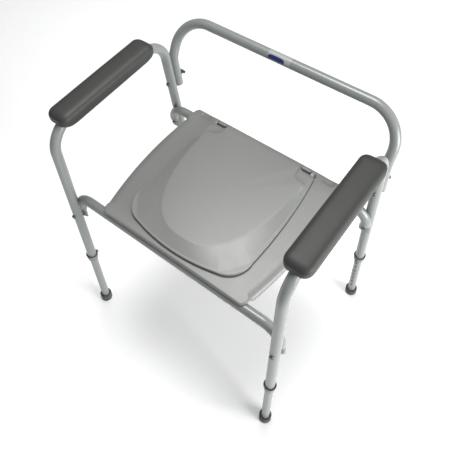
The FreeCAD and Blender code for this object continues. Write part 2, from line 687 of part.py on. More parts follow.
def lid():
    """The seat's cover: a rim with a raised middle, and a hinge edge with gaps for the seat's lugs."""
    rim = lid_outline().extrude(vec(0, 0, LID_RIM))
    rim.translate(vec(0, 0, LID_BOTTOM_Z))
    barrel = bar(HINGE_BARREL_R, vec(-LID_REAR_X, HINGE_Y, HINGE_Z), X_AXIS, 2 * LID_REAR_X)
    raised = plateau_outline(0).extrude(vec(0, 0, LID_PLATEAU + LID_RIM / 2))
    raised.translate(vec(0, 0, LID_BOTTOM_Z + LID_RIM / 2))
    recess = plateau_outline(LID_SHELL).extrude(vec(0, 0, LID_RIM + LID_PLATEAU - LID_SHELL))
    recess.translate(vec(0, 0, LID_BOTTOM_Z))
    corner = vec(-SIDE_X, -SIDE_X, LID_BOTTOM_Z)
    ahead = Part.makeBox(2 * SIDE_X, SIDE_X + HINGE_Y - LID_HOLLOW_END, DRILL_REACH, corner)
    recess = recess.common(ahead)
    for block in lid_notches(0):
        raised = raised.cut(block)
    for block in lid_notches(LID_SHELL):
        recess = recess.cut(block)
    body = rim.fuse(raised).fuse(barrel).cut(recess)
    gap = HINGE_LUG + HINGE_PLAY
    for _, side in SIDES:
        low = vec(side * HINGE_X - gap / 2, HINGE_Y - HINGE_ROOM, LID_BOTTOM_Z - HINGE_ROOM)
        body = body.cut(Part.makeBox(gap, DRILL_REACH, DRILL_REACH, low))
        start = vec(side * HINGE_X - DRILL_REACH / 2, HINGE_Y, HINGE_Z)
        body = body.cut(bar(PIN_R, start, X_AXIS, DRILL_REACH))
    return body


def hinge_lugs():
    """Two rounded lugs on the seat, each with a bore for a lid hinge pin."""
    lugs = []
    for _, side in SIDES:
        x = side * HINGE_X - HINGE_LUG / 2
        low = vec(x, HINGE_Y - HINGE_R, SEAT_TOP_Z)
        block = Part.makeBox(HINGE_LUG, 2 * HINGE_R, HINGE_Z - SEAT_TOP_Z, low)
        lug = block.fuse(bar(HINGE_R, vec(x, HINGE_Y, HINGE_Z), X_AXIS, HINGE_LUG)).removeSplitter()
        start = vec(x - HINGE_LUG, HINGE_Y, HINGE_Z)
        lugs.append(lug.cut(bar(PIN_R + PIN_FIT, start, X_AXIS, 3 * HINGE_LUG)))
    return Part.makeCompound(lugs)


def hinge_pins():
    """Two pins, each through a lug and into the lid on both sides of it."""
    pins = []
    span = HINGE_LUG + 2 * HINGE_EAR
    for _, side in SIDES:
        start = vec(side * HINGE_X - span / 2, HINGE_Y, HINGE_Z)
        pins.append(bar(PIN_R, start, X_AXIS, span))
    return Part.makeCompound(pins)


def lid_bumpers():
    """Four small rubber feet under the lid, a hair above the closed seat."""
    feet = []
    for _, side in SIDES:
        for y in LID_FOOT_Y:
            low = vec(side * LID_FOOT_X, y, LID_BOTTOM_Z - LID_FOOT_HEIGHT)
            feet.append(Part.makeCylinder(LID_FOOT_R, LID_FOOT_HEIGHT, low))
    return Part.makeCompound(feet)


def pail():
    """A tapered bucket with a flat rim that runs in the rails, and two ears for the handle."""
    height = PAIL_RIM_Z - PAIL_BOTTOM_Z
    outer = Part.makeCone(PAIL_BOTTOM_R, PAIL_TOP_R, height, vec(0, PAIL_Y, PAIL_BOTTOM_Z))
    rim = Part.makeCylinder(PAIL_RIM_R, PAIL_RIM_THICK, vec(0, PAIL_Y, PAIL_RIM_Z))
    body = outer.fuse(rim)
    for _, side in SIDES:
        ear = bar(EAR_R, vec(0, PAIL_Y, BAIL_Z), vec(side, 0, 0), EAR_END)
        body = body.fuse(ear)
    start = PAIL_BOTTOM_Z + PAIL_WALL
    room = Part.makeCone(PAIL_BOTTOM_R - PAIL_WALL, PAIL_TOP_R - PAIL_WALL, height, vec(0, PAIL_Y, start))
    mouth_low = vec(0, PAIL_Y, PAIL_RIM_Z - PAIL_MOUTH_DEPTH)
    mouth = Part.makeCylinder(PAIL_TOP_R - PAIL_WALL, DRILL_REACH, mouth_low)
    body = body.cut(room).cut(mouth)
    for _, side in SIDES:
        bore_start = vec(side * BAIL_BORE_START, PAIL_Y, BAIL_Z)
        body = body.cut(bar(BAIL_WIRE_R + BAIL_FIT, bore_start, vec(side, 0, 0), DRILL_REACH))
    return body


def pail_handle():
    """A wire bail: a half ring round the front of the pail, turned in at both ends to pivot in the ears."""
    droop = vec(0, -math.cos(BAIL_DROOP), -math.sin(BAIL_DROOP))
    reach = BAIL_R + EAR_R
    turn = BAIL_CORNER_R * (1 - math.sqrt(0.5))
    ends = []
    for _, side in SIDES:
        outer = vec(side * reach, PAIL_Y, BAIL_Z)
        inner = vec(side * (BAIL_R - BAIL_TURN_IN), PAIL_Y, BAIL_Z)
        before = outer - vec(side * BAIL_CORNER_R, 0, 0)
        middle = outer - vec(side * turn, 0, 0) + droop * turn
        after = outer + droop * BAIL_CORNER_R
        ends.append((inner, before, middle, after))
    left, right = ends
    front = vec(0, PAIL_Y, BAIL_Z) + droop * (reach + BAIL_CORNER_R)
    edges = [
        Part.LineSegment(left[0], left[1]).toShape(),
        Part.Arc(left[1], left[2], left[3]).toShape(),
        Part.Arc(left[3], front, right[3]).toShape(),
        Part.Arc(right[3], right[2], right[1]).toShape(),
        Part.LineSegment(right[1], right[0]).toShape(),
    ]
    return sweep(Part.Wire(edges), BAIL_WIRE_R)


def pail_rail(side):
    """A channel under the two crossbars; its lower lip carries the pail's rim."""
    front = crossbar_y(FRONT_FOOT_Y, FRONT_SLOPE, 1)
    rear = crossbar_y(REAR_FOOT_Y, REAR_SLOPE, -1)
    top = BAR_Z - TUBE_R
    low = top - RAIL_HEIGHT
    start = front + RAIL_SETBACK
    length = rear + RAIL_TAIL - start
    web = Part.makeBox(RAIL_SHEET, length, RAIL_HEIGHT, vec(RAIL_X, start, low))
    shelf = Part.makeBox(RAIL_LIP, length, RAIL_SHEET, vec(RAIL_X - RAIL_LIP, start, low))
    tongue = front - RAIL_TONGUE
    flange_length = rear + RAIL_TONGUE - tongue
    flange = Part.makeBox(RAIL_LIP, flange_length, RAIL_SHEET, vec(RAIL_X, tongue, top - RAIL_SHEET))
    body = web.fuse(shelf).fuse(flange).removeSplitter()
    for _, foot_y, slope, inward in ENDS:
        y = crossbar_y(foot_y, slope, inward)
        body = body.cut(bar(RIVET_R, vec(RAIL_X + RAIL_LIP / 2, y, low), UP, 2 * RAIL_HEIGHT))
    return body if side > 0 else body.mirror(vec(0, 0, 0), X_AXIS)


def rail_rivets():
    rivets = []
    low = BAR_Z - TUBE_R - RAIL_SHEET
    for _, side in SIDES:
        for _, foot_y, slope, inward in ENDS:
            base = vec(side * (RAIL_X + RAIL_LIP / 2), crossbar_y(foot_y, slope, inward), low)
            head = aim(dome(RIVET_HEAD_R, RIVET_HEAD), base, UP * -1)
            rivets.append(head.fuse(bar(RIVET_R, base, UP, RAIL_SHEET + RIVET_GRIP)))
    return Part.makeCompound(rivets)


def label():
    """A thin sticker wrapped on the middle of the back bar's front."""
    path = back_bar_path()
    top = max(path.Edges, key=lambda e: e.Length)
    y = top.BoundBox.Center.y
    z = top.BoundBox.Center.z
    start = vec(LABEL_START_X, y, z)
    ring = bar(TUBE_R + LABEL_THICK, start, X_AXIS, LABEL_LENGTH)
    ring = ring.cut(bar(TUBE_R, start, X_AXIS, LABEL_LENGTH))
    corner = vec(-DRILL_REACH, -DRILL_REACH, -LABEL_LOW)
    keep = Part.makeBox(2 * DRILL_REACH, DRILL_REACH, DRILL_REACH, corner)
    keep.rotate(vec(0, 0, 0), X_AXIS, -LABEL_TURN)
    keep.translate(vec(0, y, z))
    return ring.common(keep)


def write(node, shape):
    shape.exportStep("parts/" + node + ".step")


def main():
    os.makedirs("parts", exist_ok=True)
    for name, side in SIDES:
        write("side_frame_" + name, side_frame(side))
        write("arm_pad_" + name, arm_pad(side))
        write("wing_nut_" + name, wing_nut(side))
        write("seat_clip_" + name, seat_clip(side * CLIP_X))
        write("pail_rail_" + name, pail_rail(side))
        for end, foot_y, slope, inward in ENDS:
            corner = end + "_" + name
            write("leg_collar_" + corner, collar(side, foot_y, slope, inward))
            write("leg_extension_" + corner, extension(side, foot_y, slope, inward))
            write("rubber_tip_" + corner, rubber_tip(side, foot_y, slope))
            write("lock_button_" + corner, lock_button(side, foot_y, slope, inward))
    for end, foot_y, slope, inward in ENDS:
        write(end + "_crossbar", crossbar(foot_y, slope, inward))
        crossbar_bolts(foot_y, slope, inward, end + "_crossbar")
    write("back_bar", back_bar())
    back_bar_bolts()
    write("back_bar_plugs", back_bar_plugs())
    write("arm_pad_screws", arm_pad_screws())
    write("seat", seat())
    write("seat_bumpers", seat_bumpers())
    write("hinge_lugs", hinge_lugs())
    write("lid", lid())
    write("hinge_pins", hinge_pins())
    write("lid_bumpers", lid_bumpers())
    write("pail", pail())
    write("pail_handle", pail_handle())
    write("rail_rivets", rail_rivets())
    write("label", label())


main()
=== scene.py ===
"""Looks of a wide commode chair: moulded seat and lid, padded arms, powder-coated tube frame.

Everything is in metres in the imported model's frame: +Z up, front of the chair at -Y.
"""
import math

import bpy
import numpy as np
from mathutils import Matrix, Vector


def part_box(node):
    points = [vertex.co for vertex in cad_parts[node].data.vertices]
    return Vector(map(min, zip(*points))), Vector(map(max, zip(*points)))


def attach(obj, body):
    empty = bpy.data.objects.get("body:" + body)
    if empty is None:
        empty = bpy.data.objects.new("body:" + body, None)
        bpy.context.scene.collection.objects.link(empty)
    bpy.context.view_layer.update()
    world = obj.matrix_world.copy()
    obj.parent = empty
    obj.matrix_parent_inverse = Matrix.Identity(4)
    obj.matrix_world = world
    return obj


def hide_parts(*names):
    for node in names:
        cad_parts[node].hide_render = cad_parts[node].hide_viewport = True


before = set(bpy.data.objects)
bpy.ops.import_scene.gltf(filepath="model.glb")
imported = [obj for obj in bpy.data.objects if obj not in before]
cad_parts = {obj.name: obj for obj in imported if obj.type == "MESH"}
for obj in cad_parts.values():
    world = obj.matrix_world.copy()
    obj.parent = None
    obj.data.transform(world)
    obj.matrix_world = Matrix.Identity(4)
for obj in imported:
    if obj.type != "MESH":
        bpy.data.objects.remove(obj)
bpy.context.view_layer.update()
SIDES = (("left", -1.0), ("right", 1.0))


# --- building meshes ------------------------------------------------------------------------------

BELL_REACH = 4  # how many of its own widths the bell-shaped average looks to each side
CORNER_MIDDLE = 0.293  # how far a quarter circle's middle is from the corner, as a share of its radius


def make_piece(name, points, faces, material, body):
    """A smooth-shaded mesh object from points (n, 3) and quad or triangle faces, riding on a body."""
    mesh = bpy.data.meshes.new(name)
    mesh.from_pydata(points.tolist(), [], faces)
    mesh.validate()
    mesh.materials.append(material)
    mesh.polygons.foreach_set("use_smooth", np.ones(len(mesh.polygons), bool))
    mesh.update()
    piece = bpy.data.objects.new(name, mesh)
    bpy.context.scene.collection.objects.link(piece)
    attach(piece, body)
    return piece


def quad_faces(rows, columns, close_rows, close_columns):
    """Quads over a grid of rows x columns points, joined end to end where asked."""
    r = np.arange(rows if close_rows else rows - 1)
    c = np.arange(columns if close_columns else columns - 1)
    rr, cc = np.meshgrid(r, c, indexing="ij")
    r2 = (rr + 1) % rows
    c2 = (cc + 1) % columns
    quads = np.stack([rr * columns + cc, rr * columns + c2, r2 * columns + c2, r2 * columns + cc], -1)
    return quads.reshape(-1, 4).tolist()


def fan_faces(ring_start, count, pole, flip):
    """Triangles from a closed ring of points to one pole."""
    i = np.arange(count)
    j = (i + 1) % count
    order = (j, i) if flip else (i, j)
    tris = np.stack([ring_start + order[0], ring_start + order[1], np.full(count, pole)], -1)
    return tris.tolist()


def outward(piece):
    """Turns the faces outwards by the sign of the closed mesh's volume."""
    mesh = piece.data
    mesh.calc_loop_triangles()
    points = np.empty(len(mesh.vertices) * 3)
    mesh.vertices.foreach_get("co", points)
    points = points.reshape(-1, 3)
    tris = np.empty(len(mesh.loop_triangles) * 3, int)
    mesh.loop_triangles.foreach_get("vertices", tris)
    a, b, c = points[tris.reshape(-1, 3)].transpose(1, 0, 2)
    if np.einsum("ij,ij->i", a, np.cross(b, c)).sum() < 0:
        mesh.flip_normals()
    return piece


def arc_through(a, m, b, count):
    """Points on the circle arc from a to b through m, in the plane."""
    a, m, b = (np.array(p, float) for p in (a, m, b))
    system = np.array([m - a, b - a])
    right = 0.5 * np.array([m @ m - a @ a, b @ b - a @ a])
    centre = np.linalg.solve(system, right)
    radius = np.linalg.norm(a - centre)
    angles = [math.atan2(p[1] - centre[1], p[0] - centre[0]) for p in (a, m, b)]
    start = angles[0]
    end = angles[2]
    turn = math.tau if np.cross(m - a, b - a) > 0 else -math.tau
    while (end - start) * turn < 0:
        end += turn
    t = np.linspace(start, end, count)
    return centre + radius * np.stack([np.cos(t), np.sin(t)], -1)


def even_loop(points, count, smooth):
    """A closed loop walked at even steps, then softened by a bell-shaped average smooth steps wide."""
    closed = np.vstack([points, points[:1]])
    step = np.linalg.norm(np.diff(closed, axis=0), axis=1)
    along = np.concatenate([[0], np.cumsum(step)])
    at = np.linspace(0, along[-1], count, endpoint=False)
    loop = np.stack([np.interp(at, along, closed[:, k]) for k in range(2)], -1)
    span = math.ceil(BELL_REACH * smooth)
    reach = np.arange(-span, span + 1)
    weight = np.exp(-0.5 * (reach / smooth) ** 2)
    weight /= weight.sum()
    return sum(w * np.roll(loop, r, axis=0) for w, r in zip(weight, reach.tolist()))


def mirrored_loop(half):
    """Joins the half of a loop with x above 0, listed from the rear to the front, to its mirror image."""
    half = np.asarray(half, float)
    other = half[::-1] * np.array([-1.0, 1.0])
    return np.vstack([half, other])


def ease(t):
    """0 below 0, 1 above 1, and a smooth S between."""
    t = np.clip(t, 0, 1)
    return t * t * (3 - 2 * t)


# --- materials ------------------------------------------------------------------------------------

FLOAT = "NodeSocketFloat"
COLOUR = "NodeSocketColor"
VECTOR = "NodeSocketVector"
MIX_A = 6  # the colour inputs and output of a Mix node
MIX_B = 7
MIX_RESULT = 2
GRAIN_LIFT = 0.0003
WAVE_LIFT = 0.001
PATCH_SCALE = 9.0
FLECK_SCALE = 420.0
HIGHLIGHT_BREAK_SCALE = 140.0
SMEAR_SCALE = 26.0
LABEL_SHIFT = -0.007
LABEL_RISE = 0.0035
LABEL_HALF_X = 0.0225
LABEL_HALF_Z = 0.0068
LABEL_SQUARENESS = 4.0
LABEL_BLUE = (0.012, 0.02, 0.11, 1)


def group(name, inputs, outputs):
    """A shader node group with named inputs (name, kind, default) and outputs (name, kind)."""
    tree = bpy.data.node_groups.new(name, "ShaderNodeTree")
    for label, kind, default in inputs:
        socket = tree.interface.new_socket(label, in_out="INPUT", socket_type=kind)
        if default is not None:
            socket.default_value = default
    for label, kind in outputs:
        tree.interface.new_socket(label, in_out="OUTPUT", socket_type=kind)
    tree.nodes.new("NodeGroupInput").name = "in"
    tree.nodes.new("NodeGroupOutput").name = "out"
    return tree


def add(tree, kind, links=None, values=None, **settings):
    """A node with settings, socket values and links; a link is (node, output name)."""
    node = tree.nodes.new(kind)
    for key, value in settings.items():
        setattr(node, key, value)
    for key, value in (values or {}).items():
        node.inputs[key].default_value = value
    for key, (source, output) in (links or {}).items():
        tree.links.new(source.outputs[output], node.inputs[key])
    return node


def surface_grain_group():
    """Fine moulded or sprayed texture: two scales of noise added into one bump."""
    tree = group("surface_grain", [("Fine", FLOAT, 900.0), ("Coarse", FLOAT, 60.0), ("Depth", FLOAT, 0.1),
                                   ("Wave", FLOAT, 0.05)], [("Normal", VECTOR)])
    given = tree.nodes["in"]
    place = add(tree, "ShaderNodeTexCoord")
    fine = add(tree, "ShaderNodeTexNoise", {"Vector": (place, "Object"), "Scale": (given, "Fine")},
               {"Detail": 3.0, "Roughness": 0.6})
    coarse = add(tree, "ShaderNodeTexNoise", {"Vector": (place, "Object"), "Scale": (given, "Coarse")},
                 {"Detail": 2.0})
    soft = add(tree, "ShaderNodeBump", {"Height": (coarse, "Fac"), "Strength": (given, "Wave")},
               {"Distance": WAVE_LIFT})
    bump = add(tree, "ShaderNodeBump", {"Height": (fine, "Fac"), "Strength": (given, "Depth"),
                                        "Normal": (soft, "Normal")}, {"Distance": GRAIN_LIFT})
    tree.links.new(bump.outputs["Normal"], tree.nodes["out"].inputs["Normal"])
    return tree


def tone_group():
    """Colour that drifts a little over the surface, with paler edges as a painted highlight and fine dull
    smears.
    """
    tree = group("tone_and_edge_highlight", [("Colour", COLOUR, (0.5, 0.5, 0.5, 1)), ("Drift", FLOAT, 0.05),
                                   ("Edge Colour", COLOUR, (0.7, 0.7, 0.7, 1)), ("Edge", FLOAT, 0.3),
                                   ("Edge Size", FLOAT, 0.0008), ("Gloss", FLOAT, 0.35),
                                   ("Smear", FLOAT, 0.08)], [("Colour", COLOUR), ("Roughness", FLOAT)])
    given = tree.nodes["in"]
    place = add(tree, "ShaderNodeTexCoord")
    patch = add(tree, "ShaderNodeTexNoise", {"Vector": (place, "Object")},
                {"Scale": PATCH_SCALE, "Detail": 3.0})
    fleck = add(tree, "ShaderNodeTexNoise", {"Vector": (place, "Object")},
                {"Scale": FLECK_SCALE, "Detail": 2.0})
    both = add(tree, "ShaderNodeMath", {0: (patch, "Fac"), 1: (fleck, "Fac")}, operation="ADD")
    centred = add(tree, "ShaderNodeMath", {0: (both, "Value")}, {1: 1.0}, operation="SUBTRACT")
    drift = add(tree, "ShaderNodeMath", {0: (centred, "Value"), 1: (given, "Drift")}, {2: 1.0},
                operation="MULTIPLY_ADD")
    tinted = add(tree, "ShaderNodeVectorMath", {0: (given, "Colour"), "Scale": (drift, "Value")},
                 operation="SCALE")
    # Paler edges are a painted highlight: where the rounded normal turns away from the flat one, the edge
    # colour is mixed in, broken into patches by noise.
    rounded = add(tree, "ShaderNodeBevel", {"Radius": (given, "Edge Size")}, samples=4)
    flat = add(tree, "ShaderNodeNewGeometry")
    same = add(tree, "ShaderNodeVectorMath", {0: (rounded, "Normal"), 1: (flat, "Normal")},
               operation="DOT_PRODUCT")
    edge = add(tree, "ShaderNodeMapRange", {"Value": (same, "Value")},
               {"From Min": 0.97, "From Max": 0.75, "To Min": 0.0, "To Max": 1.0})
    broken = add(tree, "ShaderNodeTexNoise", {"Vector": (place, "Object")},
                 {"Scale": HIGHLIGHT_BREAK_SCALE, "Detail": 4.0})
    patchy = add(tree, "ShaderNodeMapRange", {"Value": (broken, "Fac")},
                 {"From Min": 0.4, "From Max": 0.62, "To Min": 0.15, "To Max": 1.0})
    highlight_mask = add(tree, "ShaderNodeMath", {0: (edge, "Result"), 1: (patchy, "Result")}, operation="MULTIPLY")
    amount = add(tree, "ShaderNodeMath", {0: (highlight_mask, "Value"), 1: (given, "Edge")}, operation="MULTIPLY")
    mixed = add(tree, "ShaderNodeMix", {"Factor": (amount, "Value")}, data_type="RGBA")
    tree.links.new(tinted.outputs["Vector"], mixed.inputs[MIX_A])
    tree.links.new(given.outputs["Edge Colour"], mixed.inputs[MIX_B])
    smear = add(tree, "ShaderNodeTexNoise", {"Vector": (place, "Object")},
                {"Scale": SMEAR_SCALE, "Detail": 5.0, "Distortion": 0.6})
    smear_centred = add(tree, "ShaderNodeMath", {0: (smear, "Fac")}, {1: 0.5}, operation="SUBTRACT")
    rough = add(tree, "ShaderNodeMath", {0: (smear_centred, "Value"), 1: (given, "Smear"),
                                         2: (given, "Gloss")}, operation="MULTIPLY_ADD")
    tree.links.new(mixed.outputs[MIX_RESULT], tree.nodes["out"].inputs["Colour"])
    tree.links.new(rough.outputs["Value"], tree.nodes["out"].inputs["Roughness"])
    return tree


GRAIN = surface_grain_group()
TONE = tone_group()


def finish(name, colour, edge_colour, gloss, drift=0.05, edge=0.3, edge_size=0.0008, smear=0.08,
           fine=900.0, coarse=60.0, depth=0.1, wave=0.05, metal=0.0, coat=0.0, specular=0.5):
    """A material: the tone group feeds colour and roughness, the grain group feeds the normal."""
    material = bpy.data.materials.new(name)
    material.use_nodes = True
    tree = material.node_tree
    shader = tree.nodes["Principled BSDF"]
    tone = add(tree, "ShaderNodeGroup", node_tree=TONE)
    settings = {"Colour": (*colour, 1), "Edge Colour": (*edge_colour, 1), "Drift": drift, "Edge": edge,
                "Edge Size": edge_size, "Gloss": gloss, "Smear": smear}
    for key, value in settings.items():
        tone.inputs[key].default_value = value
    grain = add(tree, "ShaderNodeGroup", node_tree=GRAIN)
    for key, value in {"Fine": fine, "Coarse": coarse, "Depth": depth, "Wave": wave}.items():
        grain.inputs[key].default_value = value
    tree.links.new(tone.outputs["Colour"], shader.inputs["Base Color"])
    tree.links.new(tone.outputs["Roughness"], shader.inputs["Roughness"])
    tree.links.new(grain.outputs["Normal"], shader.inputs["Normal"])
    shader.inputs["Metallic"].default_value = metal
    shader.inputs["Coat Weight"].default_value = coat
    shader.inputs["Coat Roughness"].default_value = 0.2
    shader.inputs["Specular IOR Level"].default_value = specular
    return material


# The second colour of each finish is the paler colour of its painted edge highlight.
powder_coat = finish("pale_grey_powder_coat", (0.208, 0.222, 0.214), (0.33, 0.35, 0.34), 0.30, drift=0.05,
                     edge=0.35, fine=1500.0, coarse=260.0, depth=0.12, wave=0.16, coat=0.2)
seat_moulding = finish("grey_seat_moulding", (0.186, 0.190, 0.179), (0.34, 0.35, 0.335), 0.38, drift=0.04,
                       edge=0.3, fine=1700.0, coarse=35.0, depth=0.22, wave=0.10)
pad_moulding = finish("dark_grey_arm_moulding", (0.037, 0.039, 0.036), (0.075, 0.075, 0.07), 0.5,
                      drift=0.12, specular=0.3, edge=0.25, edge_size=0.0015, fine=1300.0, coarse=45.0,
                      depth=0.35, wave=0.15)
collar_moulding = finish("grey_collar_moulding", (0.16, 0.18, 0.175), (0.27, 0.29, 0.285), 0.45, drift=0.08,
                         edge=0.5, fine=1500.0, depth=0.2)
button_moulding = finish("dark_button_moulding", (0.10, 0.11, 0.11), (0.2, 0.2, 0.2), 0.42, edge=0.4)
plug_moulding = finish("black_plug_moulding", (0.03, 0.03, 0.03), (0.08, 0.08, 0.08), 0.5, edge=0.4)
tip_rubber = finish("dark_grey_rubber", (0.055, 0.057, 0.056), (0.11, 0.11, 0.105), 0.72, drift=0.2,
                    edge=0.6, edge_size=0.0012, smear=0.15, fine=800.0, depth=0.45, wave=0.2)
pail_moulding = finish("grey_pail_moulding", (0.42, 0.43, 0.42), (0.55, 0.56, 0.55), 0.38, edge=0.2,
                       wave=0.2)
zinc = finish("dull_zinc_plate", (0.13, 0.13, 0.125), (0.3, 0.3, 0.29), 0.42, drift=0.2, edge=0.5,
              smear=0.25, fine=500.0, depth=0.15, metal=1.0)


def label_film():
    """A pale grey film with a plain dark blue lozenge: where |x/w|^n + |z/h|^n is below 1 on the bar."""
    material = finish("pale_label_film", (0.30, 0.31, 0.305), (0.40, 0.40, 0.40), 0.3, edge=0.0, depth=0.02)
    tree = material.node_tree
    low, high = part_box("label")
    centre = (low + high) / 2
    place = add(tree, "ShaderNodeTexCoord")
    moved = add(tree, "ShaderNodeMapping", {"Vector": (place, "Object")})
    moved.inputs["Location"].default_value = (-centre.x - LABEL_SHIFT, -centre.y, -low.z - LABEL_RISE)
    across = add(tree, "ShaderNodeSeparateXYZ", {"Vector": (moved, "Vector")})
    wide = add(tree, "ShaderNodeMath", {0: (across, "X")}, {1: LABEL_HALF_X}, operation="DIVIDE")
    tall = add(tree, "ShaderNodeMath", {0: (across, "Z")}, {1: LABEL_HALF_Z}, operation="DIVIDE")
    square = {1: LABEL_SQUARENESS}
    wide_power = add(tree, "ShaderNodeMath", {0: (wide, "Value")}, square, operation="POWER")
    tall_power = add(tree, "ShaderNodeMath", {0: (tall, "Value")}, square, operation="POWER")
    total = add(tree, "ShaderNodeMath", {0: (wide_power, "Value"), 1: (tall_power, "Value")},
                operation="ADD")
    inside = add(tree, "ShaderNodeMath", {0: (total, "Value")}, {1: 1.0}, operation="LESS_THAN")
    mixed = add(tree, "ShaderNodeMix", {"Factor": (inside, "Value")}, data_type="RGBA")
    shader = tree.nodes["Principled BSDF"]
    base = shader.inputs["Base Color"].links[0].from_socket
    tree.links.new(base, mixed.inputs[MIX_A])
    mixed.inputs[MIX_B].default_value = LABEL_BLUE
    tree.links.new(mixed.outputs[MIX_RESULT], shader.inputs["Base Color"])
    return material


FINISHES = {
    "side_frame": powder_coat, "back_bar_bolts": zinc, "back_bar_plugs": plug_moulding,
    "back_bar": powder_coat, "front_crossbar_bolts": zinc, "front_crossbar_nuts": zinc,
    "rear_crossbar_bolts": zinc, "rear_crossbar_nuts": zinc, "front_crossbar": powder_coat,
    "rear_crossbar": powder_coat, "leg_extension": powder_coat, "leg_collar": collar_moulding,
    "lock_button": button_moulding, "rubber_tip": tip_rubber, "wing_nut": zinc, "arm_pad_screws": zinc,
    "seat_clip": collar_moulding, "seat_bumpers": tip_rubber, "hinge_lugs": seat_moulding,
    "hinge_pins": zinc, "lid_bumpers": tip_rubber, "pail_handle": zinc, "pail_rail": powder_coat,
    "rail_rivets": zinc, "pail": pail_moulding, "label": label_film(),
    "seat": seat_moulding, "lid": seat_moulding, "arm_pad": pad_moulding,
}


def dress_nodes():
    """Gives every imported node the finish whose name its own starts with; the longest match wins."""
    for name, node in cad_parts.items():
        key = max((k for k in FINISHES if name.startswith(k)), key=len)
        node.data.materials.clear()
        node.data.materials.append(FINISHES[key])


dress_nodes()


# --- seat -----------------------------------------------------------------------------------------

seat_low, seat_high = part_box("seat")
SEAT_TOP = seat_high.z
SEAT_SKIRT_Z = seat_low.z
SEAT_PLATE = 0.007
SEAT_FRONT_X = 0.212
SEAT_REAR_X = 0.231
SEAT_WIDEST_Y = 0.010
SEAT_CORNER_R = 0.009
SEAT_DISH = 0.0015
SEAT_DISH_EASE = 1.8
SEAT_FALL = 0.0032
FALL_START = 0.09
FALL_REACH = 0.15
OPENING = np.array([0.0, -0.025])
OPENING_HALF = np.array([0.104, 0.132])
FAN_HALF = np.array([0.235, 0.20])  # the oval whose angles pair the opening's points with the edge's
RIM_R = 0.003
FOOT_IN = 0.0008
SKIRT_WALL = 0.004
SKIRT_FROM_X = 0.19
SKIRT_FADE = 0.012
BAR_ROOM = 0.0145
ROLL_WIDE = (0.006, 0.016)  # at the crossbars, and what is added along the sides
ROLL_DEEP = 0.0065
ROLL_INSIDE = 0.8  # the hollow's share of the roll's width
HOLLOW = 0.002
HOLLOW_LEAST = 0.001
LIP = (0.0004, 0.0012)  # how far the two steps of the skirt's rounded foot are from its corner
LOOP = 560
POCKET_X = 0.192
POCKET_Y = 0.172
POCKET_HALF_X = 0.012
POCKET_DEPTH = 0.0026
POCKET_SLOPE = (0.004, 0.005)  # in x and in y
CROSSBAR_Y = [(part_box(n)[0].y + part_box(n)[1].y) / 2 for n in ("front_crossbar", "rear_crossbar")]
RIB_HALF_WIDE = 0.0016
RIB_DRAFT = 0.0004
RIB_EASE = 0.0004
RIB_ROOT = 0.0010
RIB_DEPTH = 0.0085
RING_OFFSET = 0.007
RING_STEPS = 120
RIB_Y = (-0.125, -0.060, 0.010, 0.080)


def seat_half_width(y):
    """Half of the seat's width at y, a parabola through its front, middle and rear half widths."""
    ys = np.array([seat_low.y, SEAT_WIDEST_Y, seat_high.y])
    return np.polyval(np.polyfit(ys, [SEAT_FRONT_X, seat_high.x, SEAT_REAR_X], 2), y)


def seat_loop():
    """The seat's plan as a closed loop: straight front and rear, bowed sides, rounded corners."""
    rear = seat_high.y
    front = seat_low.y
    r = SEAT_CORNER_R
    rear_x = float(seat_half_width(rear))
    front_x = float(seat_half_width(front))
    side_y = np.linspace(rear - r, front + r, 60)
    side = np.stack([seat_half_width(side_y), side_y], -1)
    middle = CORNER_MIDDLE * r
    half = np.vstack([
        np.stack([np.linspace(0.001, rear_x - r, 30), np.full(30, rear)], -1),
        arc_through((rear_x - r, rear), (rear_x - middle, rear - middle), (rear_x, rear - r), 8)[1:-1],
        side,
        arc_through((front_x, front + r), (front_x - middle, front + middle), (front_x - r, front), 8)[1:-1],
        np.stack([np.linspace(front_x - r, 0.001, 30), np.full(30, front)], -1),
    ])
    return even_loop(mirrored_loop(half), LOOP, 1.0)


def seat_crown(x):
    """How far the top has fallen below its highest at x: a parabola from FALL_START outwards."""
    return SEAT_FALL * (np.clip(np.abs(x) - FALL_START, 0, 1) / FALL_REACH) ** 2


def seat_pocket(plan):
    """Depth of the shallow pocket in the top over each clip: a box in x and y with S-shaped sides."""
    across = ease((POCKET_HALF_X - np.abs(np.abs(plan[:, 0]) - POCKET_X)) / POCKET_SLOPE[0] + 1)
    return POCKET_DEPTH * across * ease((plan[:, 1] - POCKET_Y) / POCKET_SLOPE[1])


def inward_normals(loop):
    """Unit vectors square to a loop's line that point to its inside."""
    tangent = np.roll(loop, -1, axis=0) - np.roll(loop, 1, axis=0)
    normal = np.stack([tangent[:, 1], -tangent[:, 0]], -1)
    normal /= np.linalg.norm(normal, axis=1)[:, None]
    inside = ((loop.mean(0) - loop) * normal).sum(1) > 0
    return np.where(inside[:, None], normal, -normal)


